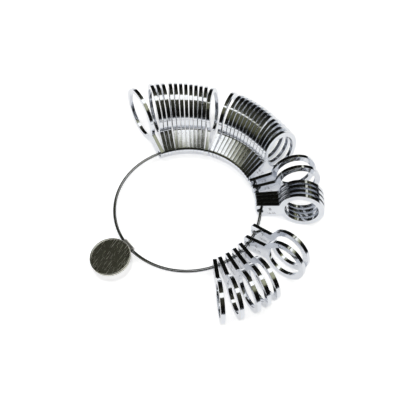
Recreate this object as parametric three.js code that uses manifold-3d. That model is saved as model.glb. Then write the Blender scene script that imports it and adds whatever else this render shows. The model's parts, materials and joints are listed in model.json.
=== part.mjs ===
// Finger gauge set for sizing rings: forty flat steel gauges, each a ring with a
// tab, strung through their tabs on a round wire hoop that a disc clasp closes.
// Millimetres, +Z up, standing on z = 0 with the rings on edge around the hoop.

import * as THREE from "three";
import { mergeVertices } from "three/addons/utils/BufferGeometryUtils.js";
import Module from "manifold-3d";

const wasm = await Module();
wasm.setup();

// ---------------------------------------------------------------- driving sizes

const GAUGE_COUNT = 40;
const BORE_SMALLEST = 14.5; // finger hole of gauge 1
const BORE_STEP = 0.25; // each gauge's finger hole is this much wider than the last
const BAND = 2.7; // radial width of the ring
const PLATE = 1.9; // thickness of the sheet the gauges are cut from
const NECK = 9.8; // tab hole to the ring's outer edge
const TAB_WIDTH = 8.2;
const TAB_END = 2.2; // tab hole to the inner end of the tab
const TAB_CORNER = 1.8; // radius of the two inner corners
const TAB_HOLE = 3.2; // diameter

const HOOP_RADIUS = 37; // to the middle of the wire
const HOOP_WIRE = 1.7; // diameter
const WIRE_HEIGHT = 4.2; // the hoop lies level, at this height
const HOOP_CENTRE = new THREE.Vector2(-11.29, -4.67);

const CLASP_ANGLE = -139; // where the clasp sits round the hoop, degrees
const CLASP_DISTANCE = 46.9; // hoop's middle to the clasp's middle
const CLASP_RADIUS = 9.6;
const CLASP_HEIGHT = 7.7;
const GAP = 0.3; // clearance between pieces that touch
const OVERCUT = 1; // how far a cutting tool runs past the face that it cuts

// How the gauges lie, going clockwise from the largest. Each row is one batch that
// lies together: how many, the angle round the hoop of its first gauge and the step
// to the next, the direction its first tab points in and the step to the next, and
// how far the plates lean over sideways. Degrees.
const BATCHES = [
  { count: 1, at: [114.5, 0], heading: [121, 0], lean: 2 },
  { count: 3, at: [110.2, -3.2], heading: [106.8, -2.2], lean: 2 },
  { count: 8, at: [100, -3.15], heading: [97.5, -1.7], lean: 0 },
  { count: 1, at: [73, 0], heading: [79, 0], lean: -8 },
  { count: 1, at: [68.6, 0], heading: [66, 0], lean: 0 },
  { count: 9, at: [64.9, -3.15], heading: [61.5, -1.1], lean: 0 },
  { count: 1, at: [36.17, 0], heading: [48.7, 0], lean: -2.5 },
  { count: 1, at: [32.54, 0], heading: [44.9, 0], lean: -6 },
  { count: 1, at: [28.86, 0], heading: [40.9, 0], lean: -9.7 },
  { count: 1, at: [25.13, 0], heading: [36.5, 0], lean: -13.7 },
  { count: 1, at: [20, 0], heading: [5.5, 0], lean: -6 },
  { count: 1, at: [13, 0], heading: [2, 0], lean: -3.5 },
  { count: 1, at: [5.3, 0], heading: [-10.3, 0], lean: -4 },
  { count: 3, at: [1.8, -3.35], heading: [-11.5, -1.2], lean: -4.5 },
  { count: 2, at: [-25.2, -11.3], heading: [-46, 4], lean: -6 },
  { count: 3, at: [-44.8, -6.4], heading: [-62, -2.2], lean: 0 },
  { count: 2, at: [-64.3, -4.6], heading: [-73.5, -11], lean: 0 },
];

// -------------------------------------------------------------------- materials

const steel = (color, roughness) =>
  new THREE.MeshStandardMaterial({ color, roughness, metalness: 1 });

const GAUGE_STEEL = steel(0xd6d8d8, 0.12);
const WIRE_STEEL = steel(0xb8babc, 0.2);
const CLASP_STEEL = steel(0x8f908a, 0.22);
const SPRING_STEEL = steel(0x9a9690, 0.35);

// ---------------------------------------------------------------------- helpers

const rad = THREE.MathUtils.degToRad;

// Facets round a full turn.
const TURNED_SIDES = 40;
const BARREL_SIDES = 20;
const PIN_SIDES = 12;
const WIRE_SIDES = 8;

// Points on a circular arc, both ends included.
function arc(x, y, radius, from, to, steps) {
  return Array.from({ length: steps + 1 }, (_, i) => {
    const a = from + ((to - from) * i) / steps;
    return new THREE.Vector2(x + radius * Math.cos(a), y + radius * Math.sin(a));
  });
}

function circle(x, y, radius, steps) {
  return arc(x, y, radius, 0, 2 * Math.PI, steps).slice(0, -1);
}

// A flat plate from an outline and its holes, from z = low to z = low + thickness.
function plate(outline, holes, low, thickness) {
  const shape = new THREE.Shape(outline);
  shape.holes = holes.map((points) => new THREE.Path(points));
  const geometry = new THREE.ExtrudeGeometry(shape, { depth: thickness, bevelEnabled: false });
  return geometry.translate(0, 0, low);
}

// A turned piece about +Z from its [radius, height] profile.
function turned(profile) {
  const points = profile.map(([r, z]) => new THREE.Vector2(r, z));
  return new THREE.LatheGeometry(points, TURNED_SIDES).rotateX(Math.PI / 2);
}

function box(from, to) {
  const size = new THREE.Vector3().subVectors(to, from);
  const middle = new THREE.Vector3().addVectors(from, to).multiplyScalar(0.5);
  return new THREE.BoxGeometry(size.x, size.y, size.z).translate(middle.x, middle.y, middle.z);
}

// A bar along X, round or with few sides.
function barAlongX(radius, from, to, y, z, sides) {
  const bar = new THREE.CylinderGeometry(radius, radius, to - from, sides);
  return bar.rotateZ(Math.PI / 2).translate((from + to) / 2, y, z);
}

function toSolid(geometry) {
  const bare = geometry.clone();
  bare.deleteAttribute("normal");
  bare.deleteAttribute("uv");
  const merged = mergeVertices(bare, 1e-4);
  return new wasm.Manifold(
    new wasm.Mesh({
      numProp: 3,
      vertProperties: new Float32Array(merged.attributes.position.array),
      triVerts: new Uint32Array(merged.index.array),
    }),
  );
}

function toGeometry(solid) {
  const mesh = solid.getMesh();
  const geometry = new THREE.BufferGeometry();
  geometry.setAttribute("position", new THREE.BufferAttribute(mesh.vertProperties, 3));
  geometry.setIndex(new THREE.BufferAttribute(mesh.triVerts, 1));
  geometry.computeVertexNormals();
  return geometry;
}

function cut(body, ...tools) {
  return toGeometry(tools.reduce((solid, tool) => solid.subtract(toSolid(tool)), toSolid(body)));
}

function addPiece(parent, name, geometry, material) {
  const mesh = new THREE.Mesh(geometry, material);
  mesh.name = name;
  parent.add(mesh);
  return mesh;
}

const group = new THREE.Group();
const hoop = new THREE.Group();
hoop.position.set(HOOP_CENTRE.x, HOOP_CENTRE.y, 0);
group.add(hoop);

// ----------------------------------------------------------------------- gauges

const RING_FACETS = 22;
const BORE_FACETS = 20;
const CORNER_FACETS = 3;

// The plate in its own plane: x runs from the tab hole to the ring, y across it.
function gaugeGeometry(bore) {
  const inner = bore / 2;
  const outer = inner + BAND;
  const reach = NECK + outer;
  const half = TAB_WIDTH / 2;
  const join = Math.asin(half / outer);
  const corner = TAB_CORNER - TAB_END;
  const outline = [
    ...arc(reach, 0, outer, -Math.PI + join, Math.PI - join, RING_FACETS),
    ...arc(corner, half - TAB_CORNER, TAB_CORNER, Math.PI / 2, Math.PI, CORNER_FACETS),
    ...arc(corner, TAB_CORNER - half, TAB_CORNER, Math.PI, 1.5 * Math.PI, CORNER_FACETS),
  ];
  const holes = [circle(reach, 0, inner, BORE_FACETS), circle(0, 0, TAB_HOLE / 2, WIRE_SIDES)];
  return plate(outline, holes, -PLATE / 2, PLATE).rotateX(Math.PI / 2);
}

// A gauge stands on the edge of its ring, so its tab slopes down to the hoop.
function riseAngle(outer, lean) {
  const ringMiddle = outer * Math.cos(lean) + (PLATE / 2) * Math.abs(Math.sin(lean));
  return Math.asin((ringMiddle - WIRE_HEIGHT) / ((NECK + outer) * Math.cos(lean)));
}

function addGauge(number, at, heading, lean) {
  const bore = BORE_SMALLEST + BORE_STEP * (number - 1);
  const name = `gauge_${String(number).padStart(2, "0")}`;
  const gauge = addPiece(hoop, name, gaugeGeometry(bore), GAUGE_STEEL);
  gauge.position.set(HOOP_RADIUS * Math.cos(at), HOOP_RADIUS * Math.sin(at), WIRE_HEIGHT);
  gauge.rotation.set(lean, -riseAngle(bore / 2 + BAND, lean), heading, "ZXY");
}

let number = GAUGE_COUNT;
for (const { count, at, heading, lean } of BATCHES) {
  for (let i = 0; i < count; i += 1) {
    addGauge(number, rad(at[0] + i * at[1]), rad(heading[0] + i * heading[1]), rad(lean));
    number -= 1;
  }
}

// ------------------------------------------------------------------------- hoop

// The clasp's frame: x points away from the hoop's middle, y runs along the wire.
const clasp = new THREE.Group();
clasp.position.set(
  CLASP_DISTANCE * Math.cos(rad(CLASP_ANGLE)),
  CLASP_DISTANCE * Math.sin(rad(CLASP_ANGLE)),
  0,
);
clasp.rotation.z = rad(CLASP_ANGLE);
hoop.add(clasp);

const WIRE_X = HOOP_RADIUS - CLASP_DISTANCE; // the wire's place in the clasp's frame
const HOOK_Y = 1.4; // where the catch hooks into the wire's free end
const NOTCH_WIDTH = 1.6;
const NOTCH_DEPTH = 0.55;

class HoopLine extends THREE.Curve {
  getPoint(t, target = new THREE.Vector3()) {
    const split = GAP / HOOP_RADIUS; // half of the split between the wire's two ends
    const angle = split + t * 2 * (Math.PI - split);
    const x = HOOP_RADIUS * Math.cos(angle) - CLASP_DISTANCE;
    return target.set(x, HOOP_RADIUS * Math.sin(angle), WIRE_HEIGHT);
  }
}

const wireSection = new THREE.Shape(circle(0, 0, HOOP_WIRE / 2, WIRE_SIDES));
const wire = new THREE.ExtrudeGeometry(wireSection, {
  extrudePath: new HoopLine(),
  steps: 72,
  bevelEnabled: false,
});
const notch = box(
  new THREE.Vector3(WIRE_X + HOOP_WIRE / 2 - NOTCH_DEPTH, HOOK_Y - NOTCH_WIDTH / 2, 0),
  new THREE.Vector3(WIRE_X + HOOP_WIRE, HOOK_Y + NOTCH_WIDTH / 2, CLASP_HEIGHT),
);
addPiece(clasp, "hoop_wire", cut(wire, notch), WIRE_STEEL);

// ------------------------------------------------------------------------ clasp

const LID = 1; // thickness of the lid's disc
const WALL = 1;
const FLOOR = 1;
const CUP_HEIGHT = CLASP_HEIGHT - LID - GAP;
const CUP_INSIDE = CLASP_RADIUS - WALL;
const BARREL_RADIUS = 1.75;
const BARREL_BORE = 1.15; // radius: the wire curves a little inside it
const BARREL_ENDS = [-3.6, 2.6];

// The catch is a flat lever on a pin: its hook holds the wire, and its other end
// comes out through the cup's wall as a thumb tab.
const LEVER_THICK = 1.2;
const LEVER_LOW = WIRE_HEIGHT - LEVER_THICK / 2;
const PIN = new THREE.Vector2(-5, 3.9);
const PIN_RADIUS = 0.7;
const LEVER_HOLE = 1;
const BOSS_RADIUS = 1.8;
const THUMB = new THREE.Vector2(-2.9, -10.6); // the tab's tip
const ARM_HALF = 0.8; // half the arm's width
const SLOT_TRAVEL = 2.9; // how far the wall's slot lets the tab move
const SLOT_HEIGHT = 1.9;

// Room for the barrel in the cup's wall and the lid's underside.
function clearBarrel() {
  const length = BARREL_ENDS[1] - BARREL_ENDS[0] + 2 * GAP;
  const radius = BARREL_RADIUS + GAP;
  const room = new THREE.CylinderGeometry(radius, radius, length, BARREL_SIDES);
  return room.translate(WIRE_X, (BARREL_ENDS[0] + BARREL_ENDS[1]) / 2, WIRE_HEIGHT);
}

function thumbSlot() {
  const left = THUMB.x - ARM_HALF - GAP;
  const right = THUMB.x + ARM_HALF + SLOT_TRAVEL;
  return box(
    new THREE.Vector3(left, -CLASP_RADIUS - OVERCUT, WIRE_HEIGHT - SLOT_HEIGHT / 2),
    new THREE.Vector3(right, 2 * WALL - CUP_INSIDE, WIRE_HEIGHT + SLOT_HEIGHT / 2),
  );
}

const EDGE = 0.5; // chamfer round the cup's foot
const cup = turned([
  [0, 0],
  [CLASP_RADIUS - EDGE, 0],
  [CLASP_RADIUS, EDGE],
  [CLASP_RADIUS, CUP_HEIGHT],
  [CUP_INSIDE, CUP_HEIGHT],
  [CUP_INSIDE, FLOOR],
  [0, FLOOR],
]);
addPiece(clasp, "clasp_cup", cut(cup, clearBarrel(), thumbSlot()), CLASP_STEEL);

// The lid's rim is rolled over, and a ring under it centres it in the cup.
const RIM = LID / 2;
const LID_BASE = CLASP_HEIGHT - LID;
const rolledRim = arc(CLASP_RADIUS - RIM, CLASP_HEIGHT - RIM, RIM, -Math.PI / 2, Math.PI / 2, 4);
const LOCATOR = CUP_INSIDE - GAP;
const LOCATOR_DEPTH = 0.7;
const lid = turned([
  [0, LID_BASE],
  [LOCATOR - WALL, LID_BASE],
  [LOCATOR - WALL, LID_BASE - LOCATOR_DEPTH],
  [LOCATOR, LID_BASE - LOCATOR_DEPTH],
  [LOCATOR, LID_BASE],
  ...rolledRim.map((p) => [p.x, p.y]),
  [0, CLASP_HEIGHT],
]);
addPiece(clasp, "clasp_lid", cut(lid, clearBarrel()), CLASP_STEEL);

// The barrel holds both ends of the wire; the hook reaches in through its window.
const barrelRing = plate(
  circle(0, 0, BARREL_RADIUS, BARREL_SIDES),
  [circle(0, 0, BARREL_BORE, BARREL_SIDES)],
  BARREL_ENDS[0],
  BARREL_ENDS[1] - BARREL_ENDS[0],
);
barrelRing.rotateX(-Math.PI / 2);
barrelRing.translate(WIRE_X, 0, WIRE_HEIGHT);
const BARREL_SIDE = WIRE_X + BARREL_RADIUS;
const WINDOW_DEPTH = 1.35;
const hookWindow = box(
  new THREE.Vector3(BARREL_SIDE - WINDOW_DEPTH, HOOK_Y - NOTCH_WIDTH, LEVER_LOW - GAP),
  new THREE.Vector3(
    BARREL_SIDE + OVERCUT,
    BARREL_ENDS[1] + OVERCUT,
    LEVER_LOW + LEVER_THICK + GAP,
  ),
);
const SCREW_Y = -2.1;
const SCREW_RADIUS = 0.8;
const SCREW_TIP = WIRE_X + HOOP_WIRE / 2 + GAP;
const SCREW_HEAD = -6.4;
const SOCKET_RADIUS = 0.42;
const SOCKET_DEPTH = 0.8;

function screwBar(radius, from, to, sides) {
  return barAlongX(radius, from, to, SCREW_Y, WIRE_HEIGHT, sides);
}

const screwHole = screwBar(SCREW_RADIUS + GAP, WIRE_X, BARREL_SIDE + OVERCUT, PIN_SIDES);
addPiece(clasp, "wire_barrel", cut(barrelRing, hookWindow, screwHole), CLASP_STEEL);

// A grub screw through the barrel clamps the wire's fixed end.
const screw = screwBar(SCREW_RADIUS, SCREW_TIP, SCREW_HEAD, PIN_SIDES);
const socket = screwBar(SOCKET_RADIUS, SCREW_HEAD - SOCKET_DEPTH, SCREW_HEAD + OVERCUT, 6);
addPiece(clasp, "grub_screw", cut(screw, socket), SPRING_STEEL);

// The catch lever, seen from above: hook, boss round the pin, arm and thumb tab.
const HOOK_TIP = WIRE_X + HOOP_WIRE / 2 - NOTCH_DEPTH + GAP;
const HOOK_HALF = NOTCH_WIDTH / 2 - GAP;
const HOOK_ROOT = [-7.4, -7.8]; // where the hook's two sides turn towards the boss
const ARM_ROOT = new THREE.Vector2(-5.6, 1.6);
const ARM_BEND = -7.2; // the arm turns straight out here
const TAB_CHAMFER = 0.3;
const armLeft = THUMB.x - ARM_HALF;
const armRight = THUMB.x + ARM_HALF;
const leverOutline = [
  new THREE.Vector2(HOOK_TIP, HOOK_Y - HOOK_HALF),
  new THREE.Vector2(HOOK_ROOT[0], HOOK_Y - HOOK_HALF),
  ARM_ROOT,
  new THREE.Vector2(armLeft, ARM_BEND),
  new THREE.Vector2(armLeft, THUMB.y + TAB_CHAMFER),
  new THREE.Vector2(armLeft + TAB_CHAMFER, THUMB.y),
  new THREE.Vector2(armRight - TAB_CHAMFER, THUMB.y),
  new THREE.Vector2(armRight, THUMB.y + TAB_CHAMFER),
  new THREE.Vector2(armRight, ARM_BEND),
  ...arc(PIN.x, PIN.y, BOSS_RADIUS, rad(-20), rad(175), PIN_SIDES),
  new THREE.Vector2(HOOK_ROOT[1], HOOK_Y + HOOK_HALF),
  new THREE.Vector2(HOOK_TIP, HOOK_Y + HOOK_HALF),
];
const pinHole = circle(PIN.x, PIN.y, LEVER_HOLE, PIN_SIDES);
addPiece(
  clasp,
  "catch_lever",
  plate(leverOutline, [pinHole], LEVER_LOW, LEVER_THICK),
  SPRING_STEEL,
);

const PIN_TOP = LID_BASE - LOCATOR_DEPTH - GAP;
addPiece(
  clasp,
  "catch_pin",
  plate(circle(PIN.x, PIN.y, PIN_RADIUS, PIN_SIDES), [], FLOOR + GAP, PIN_TOP - FLOOR - GAP),
  SPRING_STEEL,
);

// The catch's spring: a wire coil round the pin, under the lever.
const COIL_RADIUS = 1.35;
const COIL_WIRE = 0.3;
const COIL_TURNS = 3;
const COIL_LOW = FLOOR + GAP + COIL_WIRE / 2;
const COIL_RISE = LEVER_LOW - GAP - COIL_WIRE / 2 - COIL_LOW;

class CoilLine extends THREE.Curve {
  getPoint(t, target = new THREE.Vector3()) {
    const angle = 2 * Math.PI * COIL_TURNS * t;
    const x = PIN.x + COIL_RADIUS * Math.cos(angle);
    return target.set(x, PIN.y + COIL_RADIUS * Math.sin(angle), COIL_LOW + COIL_RISE * t);
  }
}

const coilSection = new THREE.Shape(circle(0, 0, COIL_WIRE / 2, WIRE_SIDES));
const coil = new THREE.ExtrudeGeometry(coilSection, {
  extrudePath: new CoilLine(),
  steps: PIN_SIDES * COIL_TURNS,
  bevelEnabled: false,
});
addPiece(clasp, "catch_spring", coil, SPRING_STEEL);

export default group;
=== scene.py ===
"""Finger gauge set: forty polished steel gauges strung on a wire hoop with a disc clasp.

The looks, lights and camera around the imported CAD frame. Metres, +Z up.
"""

import json
import math

import bmesh
import bpy
from mathutils import Matrix, Vector


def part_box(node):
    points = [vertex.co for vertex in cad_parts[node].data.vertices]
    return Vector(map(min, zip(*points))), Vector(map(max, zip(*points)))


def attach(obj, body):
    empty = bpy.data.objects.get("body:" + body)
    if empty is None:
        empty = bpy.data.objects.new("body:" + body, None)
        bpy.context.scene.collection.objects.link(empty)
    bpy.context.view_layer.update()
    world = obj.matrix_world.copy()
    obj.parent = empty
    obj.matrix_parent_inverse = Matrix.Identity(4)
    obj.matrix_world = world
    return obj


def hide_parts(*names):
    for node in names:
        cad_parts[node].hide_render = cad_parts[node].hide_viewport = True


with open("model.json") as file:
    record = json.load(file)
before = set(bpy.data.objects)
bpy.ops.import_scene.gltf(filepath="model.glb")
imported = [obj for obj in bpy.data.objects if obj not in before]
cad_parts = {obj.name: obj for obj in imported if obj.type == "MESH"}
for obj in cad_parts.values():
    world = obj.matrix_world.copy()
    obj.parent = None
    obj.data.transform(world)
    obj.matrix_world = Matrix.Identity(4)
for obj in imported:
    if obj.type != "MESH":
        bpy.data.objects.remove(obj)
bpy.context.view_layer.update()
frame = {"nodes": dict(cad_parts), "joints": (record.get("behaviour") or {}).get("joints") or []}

NODES = frame["nodes"]
HINGES = {joint["child"]: joint for joint in frame["joints"]}
MM = 0.001
TAU = 2 * math.pi

# Gauge sizes, in millimetres, as the CAD plates have them.
BAND = 2.7
PLATE = 1.9
NECK = 9.8  # tab hole to the ring's outer edge
TAB_HALF = 4.1
TAB_END = 2.2
TAB_CORNER = 1.8
TAB_HOLE = 1.6  # radius
BORE_SMALLEST = 14.5
BORE_STEP = 0.25
FILLET = 0.9  # where the ring runs into the tab
EDGE = 0.1  # rounding of the plate's edges
EDGE_STEPS = 4

# Stamped figures: the gauge's number and, below it, its finger hole. Size, then x and y.
STAMP_DEPTH = 0.14
NUMBER_STAMP = (2.9, 5.4, 1.35)
BORE_STAMP = (2.0, 5.5, -1.75)

# The hoop and its clasp, in millimetres, as the CAD has them.
WIRE_RADIUS = 0.85
CLASP_RADIUS = 9.6
CLASP_HEIGHT = 7.7
WALL = 1.0
LID = 1.0
GAP = 0.3
BARREL_RADIUS = 1.75
BARREL_ENDS = (-3.6, 2.6)

# The clasp's finer shapes.
CUP_FLOOR = 1
FOOT = 0.5  # rounding under the cup
LIP = 0.12  # rounding of the cup's rim
RIM_BEAD = 0.6  # the lid's rolled edge
LID_RECESS = 0.07
RIM_SLOPE = [(0.22, 0.02), (0.34, LID_RECESS)]  # in from the bead, and down from the top
RIM_FLAT = 0.5
LID_LIP = 0.15  # rounding under the lid's rim
LOCATOR = 0.7  # how deep the lid's step reaches into the cup
LEVER_SLOT_X = (-4, 0.8)  # the slot in the cup's wall for the catch lever
LEVER_SLOT_INNER = -6.6
LEVER_SLOT_HALF = 0.95  # half its height, about the wire

TABLE_RADIUS = 3000
TABLE_DROP = 0.02  # the table's top below the clasp's foot

# Where the camera looks, from how high and how far, and its lens.
LOOK_AT = Vector((-4.95, 0.78, 0)) * MM
ELEVATION = math.radians(56.37)
DISTANCE = 226.9 * MM
SENSOR = 36
LENS = 38.88


# -------------------------------------------------------------------- materials


def new_material(name):
    material = bpy.data.materials.new(name)
    material.use_nodes = True
    tree = material.node_tree
    return material, tree, tree.nodes["Principled BSDF"]


def node(tree, kind, inputs=None, **settings):
    """A new shader node, with its settings and its inputs' values or links."""
    made = tree.nodes.new(kind)
    for key, value in settings.items():
        setattr(made, key, value)
    for key, value in (inputs or {}).items():
        if isinstance(value, bpy.types.NodeSocket):
            tree.links.new(value, made.inputs[key])
        else:
            made.inputs[key].default_value = value
    return made


def strokes(tree, place, length, width, angle, low, high):
    """Thin strokes, length by width in mm, turned by angle in the object's XY plane.

    low and high are where the noise starts to show and where it shows fully.
    """
    turned_place = node(
        tree,
        "ShaderNodeMapping",
        {"Vector": place, "Rotation": (0, 0, -math.radians(angle))},
    )
    stretched = node(
        tree,
        "ShaderNodeMapping",
        {
            "Vector": turned_place.outputs["Vector"],
            "Scale": (1 / (length * MM), 1 / (width * MM), 1 / (length * MM)),
        },
    )
    noise = node(
        tree,
        "ShaderNodeTexNoise",
        {"Vector": stretched.outputs["Vector"], "Scale": 1.0, "Detail": 1.0},
    )
    return node(
        tree,
        "ShaderNodeMapRange",
        {"Value": noise.outputs["Fac"], "From Min": low, "From Max": high},
    ).outputs["Result"]


# The noise in which a scratch starts to show and shows fully, the longer ones and the others.
MAIN_SHOWS = (0.60, 0.68)
CROSSING_SHOWS = (0.64, 0.72)
CROSSING_LENGTH = 0.8  # of the longer ones
GROOVE_STRENGTH = 0.25
GROOVE_DEPTH = 0.02


def steel(
    name,
    light,
    dark,
    rough,
    scratches,
    wave,
    stroke=(1.6, 0.08),
    angles=(28, -41),
    few=0,
):
    """Polished steel: cloudy tone, fine scratches and a faint waviness in the reflection.

    rough is the roughness of the clean and the dull places, scratches how strongly the
    scratches show, wave the height of the waviness, stroke a scratch's length and width,
    angles the two ways the scratches run, few how much rarer they are than usual.
    """
    material, tree, shader = new_material(name)
    shader.inputs["Metallic"].default_value = 1.0
    place = node(tree, "ShaderNodeTexCoord").outputs["Object"]
    cloud = node(tree, "ShaderNodeTexNoise", {"Vector": place, "Scale": 160.0, "Detail": 3.0})
    tone = node(
        tree,
        "ShaderNodeMix",
        {"Factor": cloud.outputs["Fac"], 6: (*dark, 1), 7: (*light, 1)},
        data_type="RGBA",
    )
    length, width = stroke
    shows = [limit + few for limit in MAIN_SHOWS]
    main = strokes(tree, place, length, width, angles[0], *shows)
    shows = [limit + few for limit in CROSSING_SHOWS]
    crossing = strokes(tree, place, CROSSING_LENGTH * length, width, angles[1], *shows)
    scratch = node(tree, "ShaderNodeMath", {0: main, 1: crossing}, operation="MAXIMUM")
    shown = node(
        tree,
        "ShaderNodeMath",
        {0: scratch.outputs["Value"], 1: scratches},
        operation="MULTIPLY",
    )
    dull = node(
        tree,
        "ShaderNodeMapRange",
        {"Value": cloud.outputs["Fac"], "To Min": rough[0], "To Max": rough[1]},
    )
    roughness = node(
        tree,
        "ShaderNodeMath",
        {0: dull.outputs["Result"], 1: shown.outputs["Value"]},
        operation="ADD",
    )
    swell = node(tree, "ShaderNodeTexNoise", {"Vector": place, "Scale": 110.0, "Detail": 1.0})
    ripple = node(
        tree,
        "ShaderNodeBump",
        {"Height": swell.outputs["Fac"], "Strength": 1.0, "Distance": wave * MM},
    )
    groove = node(
        tree,
        "ShaderNodeBump",
        {
            "Height": scratch.outputs["Value"],
            "Normal": ripple.outputs["Normal"],
            "Strength": GROOVE_STRENGTH * scratches,
            "Distance": GROOVE_DEPTH * MM,
        },
        invert=True,
    )
    tree.links.new(tone.outputs[2], shader.inputs["Base Color"])
    tree.links.new(roughness.outputs["Value"], shader.inputs["Roughness"])
    tree.links.new(groove.outputs["Normal"], shader.inputs["Normal"])
    return material


GAUGE_STEEL = steel(
    "gauge_steel",
    light=(0.80, 0.82, 0.86),
    dark=(0.70, 0.72, 0.76),
    rough=(0.05, 0.1),
    scratches=0.13,
    wave=0.012,
)
WIRE_STEEL = steel(
    "wire_steel",
    light=(0.60, 0.61, 0.63),
    dark=(0.48, 0.49, 0.51),
    rough=(0.04, 0.09),
    scratches=0.15,
    wave=0.004,
    stroke=(1.2, 0.05),
)
LID_STEEL = steel(
    "lid_steel",
    light=(0.92, 0.92, 0.84),
    dark=(0.72, 0.72, 0.66),
    rough=(0.12, 0.22),
    scratches=0.6,
    wave=0.008,
    stroke=(5, 0.24),
    angles=(20, 38),
    few=0.05,
)
CUP_STEEL = steel(
    "cup_steel",
    light=(0.97, 0.97, 0.98),
    dark=(0.88, 0.88, 0.89),
    rough=(0.06, 0.12),
    scratches=0.15,
    wave=0.004,
    stroke=(3, 0.15),
    few=0.05,
)
SATIN_STEEL = steel(
    "satin_steel",
    light=(0.62, 0.61, 0.59),
    dark=(0.50, 0.49, 0.47),
    rough=(0.28, 0.4),
    scratches=0.3,
    wave=0.004,
    stroke=(0.8, 0.05),
)


def ink_material():
    """The dark bottom of the stamped figures."""
    material, tree, shader = new_material("stamped_figures")
    place = node(tree, "ShaderNodeTexCoord").outputs["Object"]
    grit = node(tree, "ShaderNodeTexNoise", {"Vector": place, "Scale": 2500.0, "Detail": 2.0})
    tone = node(
        tree,
        "ShaderNodeMix",
        {"Factor": grit.outputs["Fac"], 6: (0.30, 0.30, 0.32, 1), 7: (0.48, 0.48, 0.50, 1)},
        data_type="RGBA",
    )
    tree.links.new(tone.outputs[2], shader.inputs["Base Color"])
    shader.inputs["Metallic"].default_value = 0.7
    shader.inputs["Roughness"].default_value = 0.5
    return material


STAMPED = ink_material()


# ---------------------------------------------------------------- mesh building


def make_object(name, bm, material, matrix=None):
    """An object from a bmesh built in millimetres; flat faces stay flat, curves smooth."""
    bmesh.ops.recalc_face_normals(bm, faces=bm.faces)
    mesh = bpy.data.meshes.new(name)
    bm.to_mesh(mesh)
    bm.free()
    mesh.transform(Matrix.Scale(MM, 4))
    for face in mesh.polygons:
        face.use_smooth = True
    mesh.set_sharp_from_angle(angle=math.radians(17))
    mesh.materials.append(material)
    made = bpy.data.objects.new(name, mesh)
    bpy.context.scene.collection.objects.link(made)
    if matrix is not None:
        made.matrix_world = matrix
    return made


def even_shading(piece):
    """The large flat faces shade flat, and the rounded edges blend into them."""
    piece.data.set_sharp_from_angle(angle=math.radians(30))
    piece.modifiers.new("even_shading", "WEIGHTED_NORMAL").keep_sharp = True


def arc(x, y, radius, start, end, steps):
    """Points on an arc, both ends included; a negative radius turns the arc inside out."""
    points = []
    for i in range(steps + 1):
        angle = start + (end - start) * i / steps
        points.append((x + radius * math.cos(angle), y + radius * math.sin(angle)))
    return points


def add_loop(bm, points, z):
    return [bm.verts.new((x, y, z)) for x, y in points]


def bridge(bm, low, high):
    for i, vert in enumerate(low):
        after = (i + 1) % len(low)
        bm.faces.new((vert, low[after], high[after], high[i]))


def rounded_wall(bm, outline, thickness, edge):
    """The wall of a plate whose two edges are rounded; outline(inset) gives its points.

    Returns the loops where the wall meets the plate's two flat faces.
    """
    half = thickness / 2
    loops = []
    for side in (-1, 1):
        for i in range(EDGE_STEPS + 1):
            turn = math.pi / 2 * i / EDGE_STEPS
            if side == 1:
                turn = math.pi / 2 - turn
            inset = edge * (1 - math.sin(turn))
            height = side * (half - edge + edge * math.cos(turn))
            loops.append(add_loop(bm, outline(inset), height))
    for low, high in zip(loops, loops[1:]):
        bridge(bm, low, high)
    return loops[0], loops[-1]


def fill_between(bm, loops):
    """One flat face with holes, from closed loops of vertices."""
    edges = []
    for loop in loops:
        for i, vert in enumerate(loop):
            edge = bm.edges.get((vert, loop[(i + 1) % len(loop)]))
            edges.append(edge)
    bmesh.ops.triangle_fill(bm, edges=edges, use_beauty=True)


# ----------------------------------------------------------------------- gauges


def gauge_outline(reach, outer):
    """The plate's outline as a function of how far it is inset."""

    def outline(inset):
        ring = outer - inset
        bend = FILLET + inset
        half = TAB_HALF - inset
        rise = half + bend
        run = math.sqrt((ring + bend) ** 2 - rise ** 2)
        turn = math.atan2(rise, run)
        corner = TAB_CORNER - inset
        corner_x = TAB_CORNER - TAB_END
        corner_y = TAB_HALF - TAB_CORNER
        x = reach - run
        return (
            arc(reach, 0, ring, turn - math.pi, math.pi - turn, 96)
            + arc(x, rise, bend, -turn, -math.pi / 2, 6)[1:]
            + arc(corner_x, corner_y, corner, math.pi / 2, math.pi, 8)
            + arc(corner_x, -corner_y, corner, math.pi, 1.5 * math.pi, 8)
            + arc(x, -rise, bend, math.pi / 2, turn, 6)[:-1]
        )

    return outline


def hole_outline(x, radius, steps):
    def outline(inset):
        return arc(x, 0, radius + inset, 0, TAU, steps)[:-1]

    return outline


def gauge_plate(outer):
    reach = NECK + outer
    bm = bmesh.new()
    walls = [
        rounded_wall(bm, gauge_outline(reach, outer), PLATE, EDGE),
        rounded_wall(bm, hole_outline(reach, outer - BAND, 88), PLATE, EDGE),
        rounded_wall(bm, hole_outline(0, TAB_HOLE, 28), PLATE, EDGE),
    ]
    for face in (0, 1):
        fill_between(bm, [wall[face] for wall in walls])
    return bm


def stamp_tool(text, size, x, y):
    """A solid in the shape of some figures, standing in the tab's front face."""
    curve = bpy.data.curves.new("stamp", "FONT")
    curve.body = text
    curve.size = size
    curve.extrude = STAMP_DEPTH
    curve.resolution_u = 3
    curve.align_x = "CENTER"
    curve.align_y = "CENTER"
    figure = bpy.data.objects.new("stamp", curve)
    bpy.context.scene.collection.objects.link(figure)
    graph = bpy.context.evaluated_depsgraph_get()
    mesh = bpy.data.meshes.new_from_object(figure.evaluated_get(graph))
    bpy.data.objects.remove(figure)
    mesh.transform(Matrix.Translation((x, y, PLATE / 2)))
    return mesh


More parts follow.
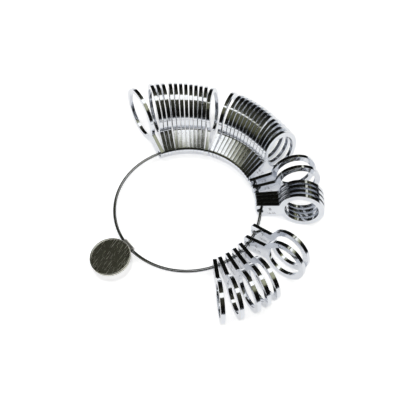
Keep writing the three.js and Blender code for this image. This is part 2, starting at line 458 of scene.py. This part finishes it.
def stamp(plate, texts):
    """Cuts the figures into the plate; the cut floor gets the second material."""
    tools = bmesh.new()
    for tool in texts:
        tools.from_mesh(tool)
    bmesh.ops.remove_doubles(tools, verts=tools.verts, dist=1e-4)
    bmesh.ops.recalc_face_normals(tools, faces=tools.faces)
    mesh = bpy.data.meshes.new("stamp_tool")
    tools.to_mesh(mesh)
    tools.free()
    mesh.transform(Matrix.Scale(MM, 4))
    mesh.materials.append(STAMPED)
    tool_object = bpy.data.objects.new("stamp_tool", mesh)
    bpy.context.scene.collection.objects.link(tool_object)
    plate.data.materials.append(STAMPED)
    tool_object.matrix_world = plate.matrix_world
    cut = plate.modifiers.new("stamp", "BOOLEAN")
    cut.operation = "DIFFERENCE"
    cut.solver = "EXACT"
    cut.material_mode = "TRANSFER"
    cut.object = tool_object
    graph = bpy.context.evaluated_depsgraph_get()
    finished = bpy.data.meshes.new_from_object(plate.evaluated_get(graph))
    plate.modifiers.clear()
    plate.data = finished
    bpy.data.objects.remove(tool_object)


def gauge_matrix(hinge, plate_node):
    """x from the tab hole to the ring, z along the hinge, as the CAD plate lies."""
    hole = Vector(hinge["pos_m"])
    axis = Vector(hinge["axis"]).normalized()
    spots = sorted((v.co - hole for v in plate_node.data.vertices), key=lambda d: -d.length)
    along = spots[0] + spots[1]
    along = (along - axis * along.dot(axis)).normalized()
    across = axis.cross(along)
    turn = Matrix((along, across, axis)).transposed().to_4x4()
    return Matrix.Translation(hole) @ turn


def build_gauge(number):
    name = f"gauge_{number:02d}"
    body = f"{name}_body"
    bore = BORE_SMALLEST + BORE_STEP * (number - 1)
    matrix = gauge_matrix(HINGES[body], NODES[name])
    plate = make_object(f"{name}_plate", gauge_plate(bore / 2 + BAND), GAUGE_STEEL, matrix)
    figures = [
        stamp_tool(str(number), *NUMBER_STAMP),
        stamp_tool(f"{bore:.2f}", *BORE_STAMP),
    ]
    stamp(plate, figures)
    even_shading(plate)
    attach(plate, body)
    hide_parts(name)


for gauge in range(1, 41):
    build_gauge(gauge)


# ------------------------------------------------------------------------- hoop

cup_low, cup_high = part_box("clasp_cup")
wire_low, wire_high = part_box("hoop_wire")
HOOP_CENTRE = (wire_low + wire_high) / 2
WIRE_HEIGHT = HOOP_CENTRE.z / MM
CLASP_CENTRE = (cup_low + cup_high) / 2
outward = CLASP_CENTRE - HOOP_CENTRE
CLASP_TURN = math.atan2(outward.y, outward.x)
CLASP_PLACE = Matrix.Translation((CLASP_CENTRE.x, CLASP_CENTRE.y, 0)) @ Matrix.Rotation(
    CLASP_TURN, 4, "Z"
)
first_hole = Vector(HINGES["gauge_01_body"]["pos_m"])
HOOP_RADIUS = Vector((first_hole.x - HOOP_CENTRE.x, first_hole.y - HOOP_CENTRE.y)).length / MM


def build_wire():
    """A round wire, from one side of its split inside the clasp round to the other."""
    steps = 360
    sides = 24
    split = GAP / HOOP_RADIUS
    bm = bmesh.new()
    rings = []
    for i in range(steps + 1):
        angle = split + (TAU - 2 * split) * i / steps
        ring = []
        for k in range(sides):
            turn = TAU * k / sides
            radius = HOOP_RADIUS + WIRE_RADIUS * math.cos(turn)
            ring.append(
                bm.verts.new(
                    (
                        radius * math.cos(angle),
                        radius * math.sin(angle),
                        WIRE_HEIGHT + WIRE_RADIUS * math.sin(turn),
                    )
                )
            )
        rings.append(ring)
    for low, high in zip(rings, rings[1:]):
        bridge(bm, low, high)
    bm.faces.new(rings[0])
    bm.faces.new(rings[-1])
    place = Matrix.Translation((HOOP_CENTRE.x, HOOP_CENTRE.y, 0)) @ Matrix.Rotation(
        CLASP_TURN, 4, "Z"
    )
    wire = make_object("hoop_wire_round", bm, WIRE_STEEL, place)
    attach(wire, "hoop")
    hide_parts("hoop_wire")


build_wire()


# ------------------------------------------------------------------------ clasp

def turned(profile, steps=160):
    """A closed bmesh turned about +Z from [radius, height] points that start and end on it."""
    bm = bmesh.new()
    rings = []
    for radius, height in profile:
        if radius == 0:
            rings.append([bm.verts.new((0, 0, height))])
        else:
            rings.append(add_loop(bm, arc(0, 0, radius, 0, TAU, steps)[:-1], height))
    for low, high in zip(rings, rings[1:]):
        if len(low) == 1 or len(high) == 1:
            centre, ring = (low[0], high) if len(low) == 1 else (high[0], low)
            for i, vert in enumerate(ring):
                bm.faces.new((centre, vert, ring[(i + 1) % len(ring)]))
        else:
            bridge(bm, low, high)
    return bm


def cut_away(piece, *tools):
    """Takes the tools' solids out of a piece, and deletes the tools."""
    for tool in tools:
        cut = piece.modifiers.new("cut", "BOOLEAN")
        cut.operation = "DIFFERENCE"
        cut.solver = "EXACT"
        cut.object = tool
    graph = bpy.context.evaluated_depsgraph_get()
    finished = bpy.data.meshes.new_from_object(piece.evaluated_get(graph))
    piece.modifiers.clear()
    piece.data = finished
    for tool in tools:
        bpy.data.objects.remove(tool)


def solid_box(low, high):
    bm = bmesh.new()
    bmesh.ops.create_cube(bm, size=1)
    size = Vector(high) - Vector(low)
    middle = (Vector(high) + Vector(low)) / 2
    bmesh.ops.scale(bm, vec=size, verts=bm.verts)
    bmesh.ops.translate(bm, vec=middle, verts=bm.verts)
    return make_object("cutter", bm, LID_STEEL, CLASP_PLACE)


def solid_bar_along_y(radius, start, end, x, z):
    bm = bmesh.new()
    ring = arc(x, z, radius, 0, TAU, 48)[:-1]
    low = [bm.verts.new((px, start, pz)) for px, pz in ring]
    high = [bm.verts.new((px, end, pz)) for px, pz in ring]
    bridge(bm, low, high)
    bm.faces.new(low)
    bm.faces.new(high)
    return make_object("cutter", bm, LID_STEEL, CLASP_PLACE)


WIRE_X = HOOP_RADIUS - outward.to_2d().length / MM


def barrel_room():
    return solid_bar_along_y(
        BARREL_RADIUS + GAP, BARREL_ENDS[0] - GAP, BARREL_ENDS[1] + GAP, WIRE_X, WIRE_HEIGHT
    )


def build_lid():
    top = CLASP_HEIGHT
    base = CLASP_HEIGHT - LID
    step = CLASP_RADIUS - WALL - GAP
    lip = CLASP_RADIUS - LID_LIP
    rim = CLASP_RADIUS - RIM_BEAD
    disc = top - LID_RECESS
    profile = [(0, base), (step - WALL, base), (step - WALL, base - LOCATOR)]
    profile += [(step, base - LOCATOR), (step, base), (lip, base)]
    profile += arc(lip, base + LID_LIP, LID_LIP, -math.pi / 2, 0, 4)[1:]
    profile += arc(rim, top - RIM_BEAD, RIM_BEAD, 0, math.pi / 2, 8)
    profile += [(rim - inward, top - down) for inward, down in RIM_SLOPE]
    profile += [(rim - RIM_FLAT, disc), (0, disc)]
    lid = make_object("clasp_lid_disc", turned(profile), LID_STEEL, CLASP_PLACE)
    cut_away(lid, barrel_room())
    even_shading(lid)
    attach(lid, "hoop")
    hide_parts("clasp_lid")


def build_cup():
    height = CLASP_HEIGHT - LID - GAP
    inner = CLASP_RADIUS - WALL
    profile = [(0, 0), (CLASP_RADIUS - FOOT, 0)]
    profile += arc(CLASP_RADIUS - FOOT, FOOT, FOOT, -math.pi / 2, 0, 8)[1:]
    profile += arc(CLASP_RADIUS - LIP, height - LIP, LIP, 0, math.pi / 2, 4)
    profile += [(inner, height), (inner, CUP_FLOOR), (0, CUP_FLOOR)]
    cup = make_object("clasp_cup_shell", turned(profile), CUP_STEEL, CLASP_PLACE)
    slot = solid_box(
        (LEVER_SLOT_X[0], -CLASP_RADIUS - 1, WIRE_HEIGHT - LEVER_SLOT_HALF),
        (LEVER_SLOT_X[1], LEVER_SLOT_INNER, WIRE_HEIGHT + LEVER_SLOT_HALF),
    )
    cut_away(cup, barrel_room(), slot)
    even_shading(cup)
    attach(cup, "hoop")
    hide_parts("clasp_cup")


build_lid()
build_cup()


def finish_cad_node(name, material, edge):
    """A small machined piece keeps its CAD shape and gets broken edges."""
    piece = NODES[name]
    piece.data.materials.clear()
    piece.data.materials.append(material)
    bevel = piece.modifiers.new("broken_edges", "BEVEL")
    bevel.width = edge * MM
    bevel.segments = 2
    bevel.limit_method = "ANGLE"
    bevel.angle_limit = math.radians(40)


finish_cad_node("wire_barrel", SATIN_STEEL, 0.08)
finish_cad_node("grub_screw", SATIN_STEEL, 0.06)
finish_cad_node("catch_lever", SATIN_STEEL, 0.12)
finish_cad_node("catch_pin", SATIN_STEEL, 0.08)
finish_cad_node("catch_spring", WIRE_STEEL, 0.02)


# --------------------------------------------------------------- floor and light


def build_floor():
    material, tree, shader = new_material("white_table")
    place = node(tree, "ShaderNodeTexCoord").outputs["Object"]
    grain = node(tree, "ShaderNodeTexNoise", {"Vector": place, "Scale": 60.0, "Detail": 2.0})
    tone = node(
        tree,
        "ShaderNodeMix",
        {"Factor": grain.outputs["Fac"], 6: (0.87, 0.87, 0.88, 1), 7: (0.89, 0.89, 0.90, 1)},
        data_type="RGBA",
    )
    tree.links.new(tone.outputs[2], shader.inputs["Base Color"])
    shader.inputs["Roughness"].default_value = 0.8
    shader.inputs["Emission Color"].default_value = (1, 1, 1, 1)
    # The table glows where it is looked at, and only a little in reflections.
    looked_at = node(tree, "ShaderNodeLightPath").outputs["Is Camera Ray"]
    glow = node(
        tree,
        "ShaderNodeMapRange",
        {"Value": looked_at, "To Min": 0.42, "To Max": 0.58},
    )
    tree.links.new(glow.outputs["Result"], shader.inputs["Emission Strength"])
    bm = bmesh.new()
    bm.faces.new(add_loop(bm, arc(0, 0, TABLE_RADIUS, 0, TAU, 64)[:-1], 0))
    floor = make_object("floor", bm, material)
    floor.location.z = -TABLE_DROP * MM


def area_light(name, place, aim, size, power):
    """A soft light, left out of reflections."""
    light = bpy.data.lights.new(name, "AREA")
    light.shape = "RECTANGLE"
    light.size, light.size_y = size
    light.energy = power
    made = bpy.data.objects.new(name, light)
    made.location = place
    made.rotation_euler = (Vector(aim) - Vector(place)).to_track_quat("-Z", "Y").to_euler()
    made.visible_glossy = False
    bpy.context.scene.collection.objects.link(made)


def maths(tree, operation, first, second=0.0):
    return node(tree, "ShaderNodeMath", {0: first, 1: second}, operation=operation).outputs["Value"]


def falloff(tree, value, full, none):
    """1 while the value is below full, fading smoothly to 0 at none."""
    return node(
        tree,
        "ShaderNodeMapRange",
        {"Value": value, "From Min": full, "From Max": none, "To Min": 1.0, "To Max": 0.0},
        interpolation_type="SMOOTHSTEP",
    ).outputs["Result"]


# The ceiling is laid out as seen from below: each place is the x and y of its direction.
# A long soft light in two lengths, end to end, runs across it.
STRIP_TURN = math.radians(34.3)
STRIP_OFFSET = 0.045  # how far its middle line passes from the zenith
STRIP_HALF = (0.163, 0.215)  # half width: full brightness, then none
NEAR_LENGTH = (-0.09, -0.07, 0.60, 0.86)  # where it starts, is full, is full, ends
FAR_LENGTH = (-0.34, -0.29, -0.185, -0.165)
FAR_REST = (-0.95, -0.75, -0.3, -0.2)  # a dimmer stretch beyond it
# Panels: the middle, the two half widths and the brightness.
PANELS = [((0.5, 0.02), (0.2, 0.38), 0.8), ((0.3, 0.66), (0.07, 0.1), 0.9)]


def stretch(tree, value, start, full, last, end):
    """1 between full and last, fading to 0 at start and at end."""
    rising = falloff(tree, maths(tree, "MULTIPLY", value, -1.0), -full, -start)
    return maths(tree, "MULTIPLY", rising, falloff(tree, value, last, end))


def ceiling_light(tree, x, y):
    """How bright the soft lights overhead are in a direction, 0 to 1."""
    cos, sin = math.cos(STRIP_TURN), math.sin(STRIP_TURN)
    along = maths(tree, "ADD", maths(tree, "MULTIPLY", x, cos), maths(tree, "MULTIPLY", y, sin))
    sideways = maths(tree, "MULTIPLY", x, sin)
    across = maths(tree, "SUBTRACT", maths(tree, "MULTIPLY", y, cos), sideways)
    off = maths(tree, "ABSOLUTE", maths(tree, "SUBTRACT", across, STRIP_OFFSET))
    width = falloff(tree, off, *STRIP_HALF)
    lengths = maths(
        tree, "MAXIMUM", stretch(tree, along, *NEAR_LENGTH), stretch(tree, along, *FAR_LENGTH)
    )
    rest = maths(tree, "MULTIPLY", stretch(tree, along, *FAR_REST), 0.18)
    brightest = maths(tree, "MULTIPLY", width, maths(tree, "MAXIMUM", lengths, rest))
    for (middle_x, middle_y), (half_x, half_y), power in PANELS:
        right = maths(tree, "DIVIDE", maths(tree, "SUBTRACT", x, middle_x), half_x)
        up = maths(tree, "DIVIDE", maths(tree, "SUBTRACT", y, middle_y), half_y)
        far = maths(tree, "ADD", maths(tree, "POWER", right, 2.0), maths(tree, "POWER", up, 2.0))
        panel = maths(tree, "MULTIPLY", falloff(tree, far, 0.5, 1.5), power)
        brightest = maths(tree, "MAXIMUM", brightest, panel)
    return brightest


def colour_ramp(tree, value, stops):
    made = node(tree, "ShaderNodeValToRGB", {"Fac": value})
    elements = made.color_ramp.elements
    elements[0].position, elements[0].color = stops[0]
    elements[1].position, elements[1].color = stops[-1]
    for position, colour in stops[1:-1]:
        elements.new(position).color = colour
    return made.outputs["Color"]


def build_world():
    """A dark room around a white table, with soft lights across the ceiling."""
    world = bpy.data.worlds.new("studio")
    bpy.context.scene.world = world
    world.use_nodes = True
    tree = world.node_tree
    back = tree.nodes["Background"]
    direction = node(tree, "ShaderNodeTexCoord").outputs["Generated"]
    parts = node(tree, "ShaderNodeSeparateXYZ", {"Vector": direction}).outputs
    room = colour_ramp(
        tree,
        parts["Z"],
        [
            (0.0, (0.6, 0.62, 0.66, 1)),
            (0.03, (0.25, 0.26, 0.27, 1)),
            (0.1, (0.004, 0.004, 0.004, 1)),
            (0.65, (0.006, 0.006, 0.005, 1)),
            (0.85, (0.036, 0.036, 0.026, 1)),
            (1.0, (0.036, 0.036, 0.026, 1)),
        ],
    )
    lamps = colour_ramp(
        tree,
        ceiling_light(tree, parts["X"], parts["Y"]),
        [
            (0.0, (0.0, 0.0, 0.0, 1)),
            (0.3, (0.14, 0.14, 0.08, 1)),
            (0.85, (0.42, 0.43, 0.30, 1)),
            (0.94, (1.2, 1.2, 1.15, 1)),
            (1.0, (1.3, 1.3, 1.28, 1)),
        ],
    )
    above = falloff(tree, maths(tree, "MULTIPLY", parts["Z"], -1.0), -0.25, -0.1)
    both = node(
        tree,
        "ShaderNodeMix",
        {"Factor": above, 6: room, 7: lamps},
        data_type="RGBA",
        blend_type="ADD",
    )
    tree.links.new(both.outputs[2], back.inputs["Color"])
    back.inputs["Strength"].default_value = 1.0
    seen = node(tree, "ShaderNodeBackground", {"Color": (0.9, 0.9, 0.9, 1), "Strength": 1.0})
    path = node(tree, "ShaderNodeLightPath").outputs["Is Camera Ray"]
    mixed = node(
        tree,
        "ShaderNodeMixShader",
        {0: path, 1: back.outputs["Background"], 2: seen.outputs["Background"]},
    )
    tree.links.new(mixed.outputs["Shader"], tree.nodes["World Output"].inputs["Surface"])


build_floor()
build_world()
area_light("key", place=(-0.2, -0.1, 1.2), aim=(0, 0, 0), size=(2, 2), power=14)


# ----------------------------------------------------------------------- camera


def build_camera():
    data = bpy.data.cameras.new("camera")
    data.sensor_width = SENSOR
    data.lens = LENS
    camera = bpy.data.objects.new("camera", data)
    back = Vector((0, -math.cos(ELEVATION), math.sin(ELEVATION)))
    camera.location = LOOK_AT + back * DISTANCE
    camera.rotation_euler = (-back).to_track_quat("-Z", "Y").to_euler()
    data.clip_start = 0.005
    bpy.context.scene.collection.objects.link(camera)
    bpy.context.scene.camera = camera


build_camera()
bpy.context.scene.view_settings.view_transform = "Standard"
